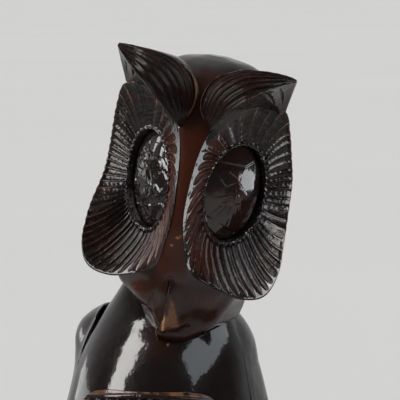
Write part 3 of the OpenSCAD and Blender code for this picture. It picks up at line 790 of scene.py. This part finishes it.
# The folds of the mouth from the tip out, on the owl's right and on its left: the line of each, and
# the places where it starts and has reached its full depth, and where it fades and has ended.
FOLDS = (
    (np.array([[-17.0, -52.5], [-13.3, -56.2], [-8.8, -60.8], [-5.4, -64.2], [-2.4, -66.2], [-0.4, -67.0]]),
     (-17.5, -14.5, 0.0, -0.9)),
    (np.array([[-0.4, -67.0], [2.4, -65.9], [5.4, -64.7], [7.2, -63.2], [9.1, -61.8], [11.8, -62.0]]),
     (-0.9, 0.2, 12.2, 9.0)),
)
# Soft hollows and swellings: place, size across and up, depth.
DIPS = (
    (-17.5, -50.5, 7.5, 4.2, 2.0), (19.5, -53.0, 7.0, 5.0, 2.0), (-7, -47, 4, 6, -0.5),
    (8, -46, 4, 6, -0.4), (-11.5, -55.5, 4.5, 3.5, -0.8), (13, -57.5, 5, 4, -0.7), (6.5, -56, 2.4, 6, 0.7),
    (-4.5, -57.5, 2.2, 6, 0.9),
)
NOSE_CHIPS = ((1.2, -21.5, 1.0), (-1.2, -25.5, 0.8), (2.4, -20.6, 0.7), (0.6, 17, 0.3))  # place, size
WARM_CHEEKS = ((-18, -50, 1.0), (19, -52, 0.8), (24, -56, 1.0), (-24, -47, 0.5))  # place, strength


def fold_depth(x, z):
    """Depth of the mouth's folds, as crisp above each line as a knife cut and soft below it."""
    depth = 0
    for fold, (start, deep, fade, end) in FOLDS:
        below = np.interp(x, fold[:, 0], fold[:, 1]) - z
        profile = 0.50 * bell(below / 0.60) + 0.70 * np.exp(-np.maximum(below, 0) / 2.2) * (below > 0)
        depth = np.maximum(depth, between(start, deep, fade, end, x) * profile)
    return depth


def off_ridge(x, z):
    """Distance from the beak's ridge towards the owl's left."""
    return x - np.interp(z, RIDGE[:, 0], RIDGE[:, 1])


def face_relief(p):
    """How far the carved face stands in front of the plain skull, at points of the head frame."""
    x, y, z = p[..., 0], p[..., 1], p[..., 2]
    off = off_ridge(x, z)
    height = 1.9 * between(-41, -50, -68.0, -66.0, z)
    width = 4.2 - 1.6 * step(-58, -66, z)
    ridge = height * np.exp(-np.abs(off) / width * 1.3) + 0.5 * height * bell(off)
    crease = 0.75 * bell((off + 0.75) / 0.32) * between(-62.5, -60, -40, -43, z)
    dip = sum(depth * spot(x, z, *place) for *place, depth in DIPS)
    return (ridge - crease - dip - fold_depth(x, z)) * step(34, 18, y)


def waver(p):
    """Unevenness of the head's polished surface."""
    return noise(p, 11.0, 31) * 0.16 + noise(p, 4.5, 32) * 0.045


def beak_marks(x, z):
    """(wear, red) over the beak: bare wood down its tip, and a rubbed, warm facet on its left, which is also a
    painted warm reflection.
    """
    off = off_ridge(x, z)
    tip = bell((off - 0.1) / 0.85) * between(-67.2, -65.8, -57.5, -60.5, z)
    line = 0.35 * bell((off + 0.1) / 0.4) * between(-61, -58, -44, -48, z)
    # The facet's warmth is a painted reflection as well as rubbing.
    facet = step(0.4, 1.6, off) * step(6.2, 3.8, off + 0.35 * (z + 58)) * between(-66.0, -63.0, -48, -53, z)
    return tip + line + facet * 0.56, facet * 0.9 + 0.22


def head():
    """The skull, with the beds of its discs and tufts, the nose, the cheeks and the mouth."""
    z = spans((-74.5, -68, 14), (-68, -40, 90), (-40, 58, 160), (58, 60, 9))
    u = spans((-2.0, 2.0, 241), (2.0, 8.0, 142))[:-1]  # finer across the face
    p = skull_ring(z, u)
    uneven = waver(p)
    q = p.copy()
    q[..., 1] -= face_relief(p) + uneven * step(60, 40, p[..., 1])
    # The nose is a plain, slightly dished band between the discs.
    r = rows(SKULL, z)
    across = np.abs(p[..., 0]) / r[:, 2:3]
    flat_band = r[:, 1:2] + (r[:, 3:4] - r[:, 1:2]) * np.clip(across, 0, 1) ** 2 + uneven * 0.4
    on_band = step(1.25, 1.0, across) * between(-40, -30, 34, 24, p[..., 2]) * (p[..., 1] < 20)
    q[..., 1] += (flat_band - q[..., 1]) * on_band
    # The jaw stands out wider under the right disc.
    jaw = step(-4, -15, p[..., 0]) * between(-66, -56, -44, -52, p[..., 2]) * step(46, 30, p[..., 1])
    q[..., 0] -= 4.2 * jaw
    q += (uneven * 0.6 * step(30, 50, p[..., 1]))[..., None] * outward(p, np.array([0, 36, 0]))
    # Behind the discs and the tufts' roots the wood stands back.
    share, level = disc_level(joined(np.abs(q[..., 0]), 0, q[..., 2]))
    inside = step(1.0, 0.86, share) * (q[..., 1] < 36)
    behind = np.maximum(level + 3.2 * np.clip(inside * 1.4, 0, 1), q[..., 1])
    behind = np.where(share < 0.04, np.maximum(behind, level + 11), behind)
    q[..., 1] += (behind - q[..., 1]) * np.clip(inside * 2.5, 0, 1)

    x, y, zz = q[..., 0], q[..., 1].copy(), q[..., 2]
    in_front = y < 20
    band = step(9, 5, np.abs(x)) * between(-46, -34, 34, 24, zz) * in_front
    chips = np.max([spot(x, zz, cx, cz, size * 1.3, size * 0.8) for cx, cz, size in NOSE_CHIPS], axis=0)
    cheek = sum(strength * spot(x, zz, cx, cz, 6, 3.6) for cx, cz, strength in WARM_CHEEKS)
    beak_wear_and_reflection, beak_red_and_reflection = beak_marks(x, zz)
    lower_face = step(-40, -46, zz) * step(34, 26, y)
    # Over the lower face, under the discs, the hollow mark dulls the gloss to satin and darkens the colour as
    # painted shade.
    satin_and_painted_shade = step(-38, -46, zz) * step(60, 46, y)
    marks = {
        "wear": np.clip(chips * 0.98 + beak_wear_and_reflection * in_front, 0, 1),
        "red": np.clip(band * 0.55 + beak_red_and_reflection * in_front + (cheek * 0.55 + 0.10) * lower_face, 0, 1),
        "hollow": np.maximum(band * 0.8, 0.6 * satin_and_painted_shade),
    }
    # The beak takes the middle of the face, so the head's own surface there is a hair behind.
    half = rows(BEAK, np.clip(z, BEAK[0, 0], BEAK[-1, 0]))[:, 2:3]
    on_beak = (np.abs(x) < half) * (zz > BEAK[0, 0]) * (zz < BEAK[-1, 0]) * (y < 24)
    q[..., 1] += 0.7 * on_beak * step(1.0, 0.8, np.abs(x) / half)
    make_piece("head_carved", to_world(q), "head", "head_wood", marks)


def beak():
    """The beak's face, looked up across the front of the carved head, and a plain back tucked behind."""
    z = np.linspace(BEAK[0, 0] + 0.05, BEAK[-1, 0], 120)
    x = np.linspace(-1, 1, 101)[None] * rows(BEAK, z)[:, 2:3]
    y = np.empty_like(x)
    for i, height in enumerate(z):
        ring = skull_ring(np.array([height]), np.linspace(-2.2, 2.2, 700))[0]
        ring[:, 1] -= face_relief(ring) + waver(ring)
        order = np.argsort(ring[:, 0])
        y[i] = np.interp(x[i], ring[order, 0], ring[order, 1])
    face = joined(x, y - 0.03, z[:, None])
    tuck = face[:, ::-1] * np.array([0.9, 1, 1]) + np.array([0, 1.2, 0])
    grid = np.concatenate([face, tuck], axis=1)
    # wear and red carry the facet's painted warm reflection too.
    wear, red = beak_marks(grid[..., 0], grid[..., 2])
    marks = {"wear": np.clip(wear, 0, 1), "red": np.clip(red, 0, 1), "hollow": 0.5}
    make_piece("beak_carved", to_world(grid), "beak", "head_wood", marks)


# ---------------------------------------------------------------- body


def torso_at(a, z, out):
    """Points on the torso at angles from the front and heights, raised outwards."""
    a, z, out = np.broadcast_arrays(a, z, out)
    r = rows(TORSO, z.reshape(-1)).reshape(*z.shape, 5)
    reach = np.where(np.cos(a) > 0, r[..., 2], r[..., 3])
    return joined(r[..., 4] + (r[..., 1] + out) * np.sin(a), -(reach + out) * np.cos(a), z)


def torso_film(p):
    """Unevenness of the torso's polished surface."""
    return noise(p, (14.0, 14.0, 20.0), 51) * 0.22 + noise(p, (4.0, 4.0, 6.0), 52) * 0.035 - 0.12


def torso():
    """The polished body, with a worn fleck and a warm patch in front under the beak."""
    z = np.linspace(TORSO[0, 0], TORSO[-1, 0], 260)[:, None]
    a = np.linspace(0, 2 * pi, 321)[:-1][None]
    grid = torso_at(a, z, torso_film(torso_at(a, z, 0)))
    front = step(0.3, 0.8, np.cos(a)) * step(186, 200, z)
    marks = {"wear": spot(grid[..., 0], z, 7.5, 203.5, 0.7, 0.7) * front,
             "red": 0.30 * spot(grid[..., 0], z, 2, 207, 7, 9) * front, "hollow": 0.0}
    make_piece("torso_polished", grid, "torso", "body_wood", marks)


FEATHER_POINTS = 16  # across each feather


def feather(q, mm, seed, quill=0.35, barbs=0.10):
    """Relief of a long feather: rounded, with a raised quill and slanting barbs. q runs across it from
    -1 to 1 and mm along it."""
    off = np.abs(q)
    lines = np.sin((mm + off * 3.0) * 2 * pi / 2.6) * barbs * between(0.08, 0.25, 1.0, 0.8, off)
    return lines + quill * bell(q / 0.10) + noise(joined(q * 3, mm, 0), (1.0, 3.0, 1.0), seed) * 0.06


def wing(side, seed):
    """A wing with long feathers, whose shoulder swells out of the torso without an edge."""
    feathers = 8
    bottom, top = WING[0, 0], WING[-1, 0]
    z = spans((bottom, 170, 150), (170, top, 80))[:, None]
    r = rows(WING, z[:, 0])
    edge = r[:, 4:5] * (1 - step(160, 182, z))
    s = np.linspace(0, 1, feathers * FEATHER_POINTS + 1)[None]
    a = np.radians(r[:, 1:2] + (r[:, 2:3] - r[:, 1:2]) * s)
    swell = r[:, 3:4] * (1 + (LEFT_SHOULDER - 1) * np.clip((z - 172) / 18, 0, 1) * (side > 0))
    thick = edge + np.maximum(0, swell - edge) * np.sin(pi * s) ** (0.8 + 1.0 * step(160, 182, z))
    q, _ = channels(s * feathers)
    low = step(178, 160, z)
    groove = 0.95 * np.abs(q) ** 5 * low * between(0.0, 0.04, 1.0, 0.96, s)
    overlap = 0.25 * q * low * between(0.0, 0.05, 1.0, 0.95, s)
    relief = (feather(q, top - z, seed) * low - groove + overlap) * step(bottom, bottom + 4, z)
    film = torso_film(mirrored(torso_at(a, z, 0), side))
    face = torso_at(a, z, thick + relief * step(0, 2.0, thick) + film + 0.04)
    worn = step(0.75, 1.0, np.abs(q)) * 0.27 * low * (1 + noise(face, 6.0, seed + 2))
    grid, marks = backed(face, torso_at(a[:, ::-8], z, -1.2), wear=np.clip(worn, 0, 1),
                         hollow=np.clip(groove, 0, 1), red=0.04 * low)
    name = sided(side, "wing")
    make_piece(name + "_carved", mirrored(grid, side), name, "body_wood", marks)


def tail():
    """Straight feathers, down to the stump."""
    feathers = 5
    bottom, top = TAIL[0, 0], TAIL[-1, 0]
    z = np.linspace(bottom, top, 130)[:, None]
    r = rows(TAIL, z[:, 0])
    s = np.linspace(-1, 1, feathers * FEATHER_POINTS + 1)[None]
    q, _ = channels((s + 1) / 2 * feathers)
    groove = 0.8 * np.abs(q) ** 5 * step(1.0, 0.96, np.abs(s))
    relief = feather(q, top - z, 71, 0.3, 0.09) - groove - 0.45
    x = r[:, 1:2] * s
    face = joined(x, r[:, 2:3] - 3 * s**2 + relief * step(bottom, bottom + 2, z), z)
    worn = step(0.7, 1.0, np.abs(q)) * 0.3 * (1 + noise(face, 6.0, 72))
    grid, marks = backed(face, joined(x[:, ::-8], 22.0, z), wear=np.clip(worn, 0, 1),
                         hollow=np.clip(groove, 0, 1), red=0.05)
    make_piece("tail_carved", grid, "tail", "carved_wood", marks)


def breast_panel():
    """Grooves down the breast, between a plain raised rim and the panel's foot."""
    grooves = 11
    bottom, top = PANEL[0, 0], PANEL[-1, 0]
    z = spans((bottom, 176, 190), (176, top, 34))[:, None]
    s = np.linspace(-1, 1, (grooves + 1) * CUT_POINTS + 1)[None]
    a = np.radians(rows(PANEL, z[:, 0])[:, 1:2]) * s
    q, number = channels((s + 1) / 2 * (grooves + 1) + 0.5)
    deep = np.random.default_rng(81).uniform(0.8, 1.15, grooves + 3)[number]
    from_top = top - z - 3.0 * s**2
    field = step(2.1, 3.0, from_top) * step(0.985, 0.93, np.abs(s)) * step(bottom, bottom + 6, z)
    where = joined(top - z, number * 9.0 + q, 0)
    chatter = noise(where, (1.6, 3.0, 1.0), 82) * 0.10 + noise(where, (6.0, 3.0, 1.0), 83) * 0.12
    cut = 0.95 * deep * (1 - np.abs(q) ** 2.2) * field
    border = 0.55 * bell((from_top - 3.0) / 0.5) * (np.abs(s) < 0.97)
    nicks = sum(0.7 * bell((s - at - 0.01 * (from_top - 1)) / 0.012) for at in (-0.16, -0.12))
    raised = 1.85 + chatter * np.clip(cut, 0, 1) - cut - border - nicks * step(3.5, 2.5, from_top)
    roll = 0.9 * (step(1.2, 0.0, from_top) + step(0.975, 1.0, np.abs(s)))
    face = torso_at(a, z, np.maximum(raised - roll, 0.3))
    crest = np.abs(q) ** 7 * field * (0.45 + 0.35 * noise(face, 5.0, 84))
    lip = 0.45 * step(1.2, 0.2, from_top) * (1 + 0.5 * noise(face, 3.0, 85))
    grid, marks = backed(face, torso_at(a[:, ::-7], z, -1.5), wear=np.clip(np.maximum(crest, lip), 0, 1),
                         hollow=np.clip(cut, 0, 1), red=0.08)
    make_piece("breast_panel_carved", grid, "breast_panel", "carved_wood", marks)


FOOT_AT, FOOT_TURN = (17, -27), radians(10)  # the left foot's place on the stump, and how far it turns out


def foot(side, seed):
    """Three knuckled toes with claws, on a feathered shank."""
    y = np.linspace(FOOT[-1, 0], FOOT[0, 0], 110)[:, None]
    r = rows(FOOT, y[:, 0])
    half, high, toes = r[:, 1:2], r[:, 2:3], np.clip(r[:, 3:4], 0, 1)
    s = np.linspace(-1, 1, 97)[None]
    shank = np.sqrt(np.maximum(0, 1 - s**2))
    toe = np.abs(np.sin(1.5 * pi * (s + 1)))
    across = shank + (toe**0.8 - shank) * toes
    mm = y + 2.5 * s**2 * toes
    knuckle = 0.55 * np.sin((mm + 2) * 2 * pi / 5.2) * toes * step(-19, -16, y) * toe
    claw = 0.8 * step(-18.2, -19.0, mm) * toes * toe
    plume = noise(joined(s * 12, y * 0.4, 0), 1.6, seed) * 0.5 * (1 - toes)
    rise = np.maximum(0.35, 0.25 + high * across + knuckle - claw + plume * across)
    x = s * half
    face = joined(x, mm, rise)
    wear = 0.5 * step(0.8, 1.0, toe) * toes * (0.6 + 0.5 * noise(face, 3.0, seed + 1))
    grid, marks = backed(face, joined(x[:, ::-6], mm[:, ::-6], 0), wear=np.clip(wear, 0, 1),
                         hollow=(1 - toe) * toes, red=0.1)
    c, t = cos(FOOT_TURN), sin(FOOT_TURN)
    x, y, z = grid[..., 0], grid[..., 1], grid[..., 2]
    grid = joined(FOOT_AT[0] + x * c - y * t, FOOT_AT[1] + x * t + y * c, STAND_Z + z)
    name = sided(side, "foot")
    make_piece(name + "_carved", mirrored(grid, side), name, "carved_wood", marks)


def stump():
    """A turned block, left with the flats of a broad gouge round its side and across its top."""
    low, high = box_mm("stump_base")
    half_w, half_d, tall = (high - low) / (2 * STUMP_SWELL, 2 * STUMP_SWELL, 1)
    flats = 34
    h = np.concatenate([np.linspace(0, 0.9, 54), np.linspace(0.91, 1, 14)])[:, None]
    a = np.linspace(0, 2 * pi, 361)[:-1][None]
    k = rows(STUMP, h[:, 0])[:, 1:2]
    band = np.floor(h * 2.6 + 0.35 * np.sin(a * 3))
    q, _ = channels(a / (2 * pi) * flats + 0.5 * band)
    p = joined(k * half_w * np.cos(a), k * half_d * np.sin(a), FELT_T + h * tall)
    scoop = -0.75 * (1 - q**2) * between(1.0, 0.88, 0.0, 0.06, h)
    scoop = scoop + noise(p, (4.0, 4.0, 9.0), 91) * 0.25 - 0.25
    around = p + scoop[..., None] * joined(np.cos(a), np.sin(a), 0)
    # Across the top the rings step in to the middle, with growth rings cut by the gouge.
    rings = []
    for t in np.linspace(0.98, 0.02, 60):
        ring = p[-1] * np.array([t, t, 1])
        dip = noise(ring, 9.0, 92) * 0.22 + 0.16 * np.sin(t * 95 + noise(ring, 14.0, 93)) - 0.45
        ring[:, 2] += dip * min(1, (1 - t) / 0.05)
        rings.append(ring)
    grid = np.concatenate([around, rings])
    marks = padded({"wear": step(0.86, 0.97, h), "hollow": (1 - np.abs(q)) * 0.8}, q.shape, after=len(rings))
    marks["wear"] = np.clip(marks["wear"] * 0.5 * (0.7 + 0.6 * noise(grid, 5.0, 94)), 0, 1)
    marks["hollow"][-len(rings):] = 0.35
    marks["red"] = 0.15
    make_piece("stump_carved", grid, "stump_base", "stump_wood", marks)


FELT_RINGS = ((0.2, 0.1), (0.9, 0.05), (0.985, 0.1), (0.996, 0.5), (0.998, 1.4), (0.99, 1.85),
              (0.9, 1.98))  # share of the size, height when it is 2 mm thick


def felt_pad():
    """A disc of felt with a frayed edge, from its middle out, up its edge and back in."""
    low, high = box_mm("felt_pad")
    half_w, half_d, _ = (high - low) / 2
    a = np.linspace(0, 2 * pi, 241)[:-1]
    grid = []
    for t, z in FELT_RINGS:
        p = joined(t * half_w * np.cos(a), t * half_d * np.sin(a), z / 2 * high[2])
        fray = noise(p, 1.2, 96) * 0.25 * (0.98 < t)
        grid.append(p - np.maximum(0, fray)[:, None] * joined(np.cos(a), np.sin(a), 0))
    make_piece("felt_pad_soft", np.array(grid), "felt_pad", "felt")


for side, seed in ((1, 101), (-1, 202)):
    face_disc(side, seed)
    eye(side, seed + 50)
    brow_tuft(side, seed + 70)
    wing(side, seed + 80)
    foot(side, seed + 90)
head()
beak()
torso()
breast_panel()
tail()
stump()
felt_pad()

dowel_wood = plain_dowel_wood()
for node in ("neck_dowel", "base_dowels"):
    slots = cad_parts[node].material_slots
    for place in slots:
        place.material = dowel_wood
    if not slots:
        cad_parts[node].data.materials.append(dowel_wood)


# ---------------------------------------------------------------- floor, light and camera

DIM_FLOOR = (0.10, 0.10, 0.10)  # its colour in reflections away from the owl
DIM_SIDE = Vector((0.19, -0.96, -0.20)).normalized()  # of the surround
SURROUND, BACKDROP = (0.50, 0.03), 0.64  # strength behind and in front, and as the camera sees it
OWL_MIDDLE = Vector((0.01, -0.02, 0.24))
CAMERA_AZIMUTH, CAMERA_ELEVATION, CAMERA_DISTANCE = radians(11), radians(6), 1.0
AIM_RIGHT, AIM_DOWN = 0.007875, 0.004185  # metres from the bridge of the nose


def add_object(name, data):
    """An object in the scene, from a mesh, a light or a camera."""
    obj = bpy.data.objects.new(name, data)
    bpy.context.scene.collection.objects.link(obj)
    return obj


def group(name, pieces):
    """A collection of pieces that a light shines on."""
    collection = bpy.data.collections.new(name)
    for piece in pieces:
        collection.objects.link(piece)
    return collection


def stage_floor(size=40.0):
    """A plain pale floor, that far from the owl to each side."""
    mesh = bpy.data.meshes.new("floor")
    corners = [(x * size, y * size, 0) for x, y in ((-1, -1), (1, -1), (1, 1), (-1, 1))]
    mesh.from_pydata(corners, [], [(0, 1, 2, 3)])
    m = Nodes(bpy.data.materials.new("pale_floor"))
    pale = m.mix(m.noise(0.9, 2.0, 0.5), (0.80, 0.795, 0.785), (0.84, 0.835, 0.825))
    # Away from the owl, and most in front of it, the floor is as dim in its gloss as the rest of the studio.
    away = m.add("ShaderNodeVectorMath", {0: m.place}, operation="LENGTH").outputs["Value"]
    behind = m.add("ShaderNodeSeparateXYZ", {0: m.place}).outputs["Y"]
    far = m.times(m.ramp(away, 0.35, 0.85), m.ramp(behind, 0.0, 0.4, 1.0, 0.6))
    reflected = m.add("ShaderNodeLightPath").outputs["Is Glossy Ray"]
    colour = m.mix(m.times(far, reflected), pale, DIM_FLOOR)
    mesh.materials.append(m.shade({"Base Color": colour, "Roughness": 0.9}))
    add_object("floor", mesh)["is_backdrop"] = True


def softbox(name, azimuth, elevation, distance, width, height, power, colour, receivers):
    """A square light seen from the owl at an azimuth (0 is -Y, 90 is +X) and elevation."""
    a, e = radians(azimuth), radians(elevation)
    data = bpy.data.lights.new(name, "AREA")
    data.shape = "RECTANGLE"
    data.size, data.size_y = width, height
    data.energy = power
    data.color = colour
    light = add_object(name, data)
    light.location = OWL_MIDDLE + Vector((sin(a) * cos(e), -cos(a) * cos(e), sin(e))) * distance
    light.rotation_euler = (OWL_MIDDLE - light.location).to_track_quat("-Z", "Y").to_euler()
    light.light_linking.receiver_collection = receivers
    light.visible_camera = False
    return light


def soft_sun():
    """Light from overhead and behind, as wide as a diffused ceiling, so that the floor is evenly lit."""
    data = bpy.data.lights.new("ceiling", "SUN")
    data.energy = 2.1
    data.angle = radians(120)
    light = add_object("ceiling", data)
    light.rotation_euler = (radians(-22), radians(4), 0)
    light.visible_glossy = False


def sky():
    """A pale surround. What it lends the owl is darker in front, as in a room lit from its sides."""
    world = bpy.data.worlds.new("surround")
    bpy.context.scene.world = world
    m = Nodes(world, "Generated")
    facing = m.add("ShaderNodeVectorMath", {0: m.place, 1: DIM_SIDE}, operation="DOT_PRODUCT")
    lent = m.ramp(facing.outputs["Value"], -0.85, 0.0, *SURROUND)
    seen = m.add("ShaderNodeLightPath").outputs["Is Camera Ray"]
    strength = m.add("ShaderNodeMix", {0: seen, 2: lent, 3: BACKDROP}).outputs[0]
    m.shade({"Color": (0.98, 0.99, 1.0), "Strength": strength}, "Background")


def camera():
    """From a little to the owl's left and above, over the head and the shoulders."""
    a, e = CAMERA_AZIMUTH, CAMERA_ELEVATION
    right = Vector((cos(a), sin(a), 0))
    ahead = Vector((-sin(a) * cos(e), cos(a) * cos(e), -sin(e)))
    target = Vector(HEAD_AT * MM) + right * AIM_RIGHT - right.cross(ahead) * AIM_DOWN
    data = bpy.data.cameras.new("camera")
    data.lens, data.sensor_width = 200, 36
    data.clip_end = 200
    data.dof.use_dof = False
    shot = add_object("camera", data)
    shot.location = target - ahead * CAMERA_DISTANCE
    shot.rotation_euler = ahead.to_track_quat("-Z", "Y").to_euler()
    bpy.context.scene.camera = shot


stage_floor()
# The softboxes light only the owl, so that the floor stays as even as a long paper sweep.
owl = group("owl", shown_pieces())
carved = [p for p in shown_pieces() if "face_disc" in p.name or p.name.startswith("right_eye")]
deep_carved = group("deep_carved", carved)
all_but_head = group("all_but_head", [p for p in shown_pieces() if not p.name.startswith(("head", "beak"))])
WHITE = (1.0, 1.0, 1.0)
softbox("key_left", -56, 37, 1.5, 0.5, 1.2, 20, (1.0, 0.985, 0.96), owl)
softbox("fill_right", 84, 46, 1.7, 2.1, 1.0, 15, (0.84, 0.93, 1.0), owl)
softbox("card_right", 100, -10, 0.95, 0.68, 0.2, 2.6, (0.95, 0.97, 1.0), all_but_head)
softbox("card_left", -110, 1, 1.2, 0.65, 0.25, 0.95, WHITE, owl)
softbox("glint", -24, 20, 1.5, 1.3, 1.1, 42, WHITE, deep_carved).visible_diffuse = False
soft_sun()
sky()
bpy.context.scene.view_settings.view_transform = "Standard"
camera()
